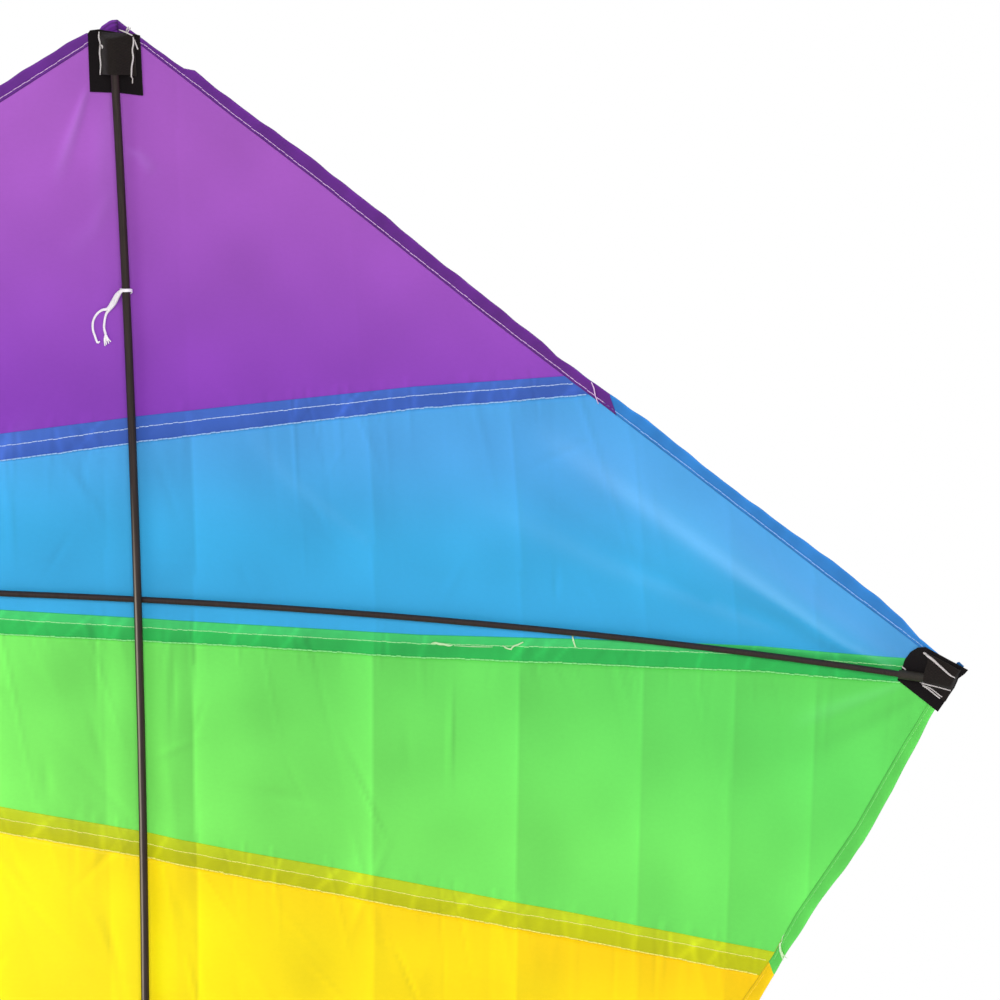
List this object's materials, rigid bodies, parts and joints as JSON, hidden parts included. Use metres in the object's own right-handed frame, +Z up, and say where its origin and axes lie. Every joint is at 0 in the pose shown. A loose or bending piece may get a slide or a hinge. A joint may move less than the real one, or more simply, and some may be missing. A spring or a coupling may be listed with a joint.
{
  "type": "diamond kite",
  "caption": "Diamond kite with a bowed rainbow cloth sail, fibreglass spine and cross spar, webbing corner pockets, and a slack bridle with a tow ring on its front.",
  "frame": {"origin": "centre line of the cross spar where the spine crosses it, at the mount frame_cross", "axes": "+Z up along the spine towards the nose; +X towards the right wing as seen from the back; -Y is the back, where the rods are, and +Y the front, where the bridle is"},
  "size_m": [0.8754, 0.1026, 0.9569],
  "materials": {
    "purple_cloth": "thin glossy woven polyester",
    "blue_cloth": "thin glossy woven polyester",
    "green_cloth": "thin glossy woven polyester",
    "yellow_cloth": "thin glossy woven polyester",
    "orange_cloth": "thin glossy woven polyester",
    "red_cloth": "thin glossy woven polyester",
    "rod": "pultruded fibreglass, semi-gloss",
    "cap_vinyl": "soft vinyl, satin",
    "webbing": "woven polyester webbing",
    "bridle_line": "twisted polyester line",
    "patch_cloth": "stiff woven reinforcement",
    "ring_metal": "turned and polished"
  },
  "bodies": {
    "kite": {"sail_purple": "purple_cloth", "sail_blue": "blue_cloth", "sail_green": "green_cloth", "sail_yellow": "yellow_cloth", "sail_orange": "orange_cloth", "sail_red": "red_cloth", "spine": "rod", "cross_spar": "rod", "spine_cap_nose": "cap_vinyl", "spine_cap_tail": "cap_vinyl", "spar_cap_left": "cap_vinyl", "spar_cap_right": "cap_vinyl", "nose_pocket": "webbing", "tail_pocket": "webbing", "tip_pocket_left": "webbing", "tip_pocket_right": "webbing", "tail_loop": "webbing", "bridle_tie_upper": "bridle_line", "bridle_tie_lower": "bridle_line", "bridle_patch_upper": "patch_cloth", "bridle_patch_lower": "patch_cloth"},
    "bridle": {"bridle_line": "bridle_line", "ring_knot": "bridle_line"},
    "ring": {"tow_ring": "ring_metal"}
  },
  "joints": [
    {"name": "bridle_swing", "type": "hinge", "parent": "kite", "child": "bridle", "pos_m": [0, 0.00226, 0.152], "axis": [0, 0.0274, 0.9996], "range_deg": [-45, 45]},
    {"name": "tow_ring_swing", "type": "hinge", "parent": "bridle", "child": "ring", "pos_m": [0, 0.0164, -0.248], "axis": [1, 0, 0], "range_deg": [0, 150]}
  ]
}
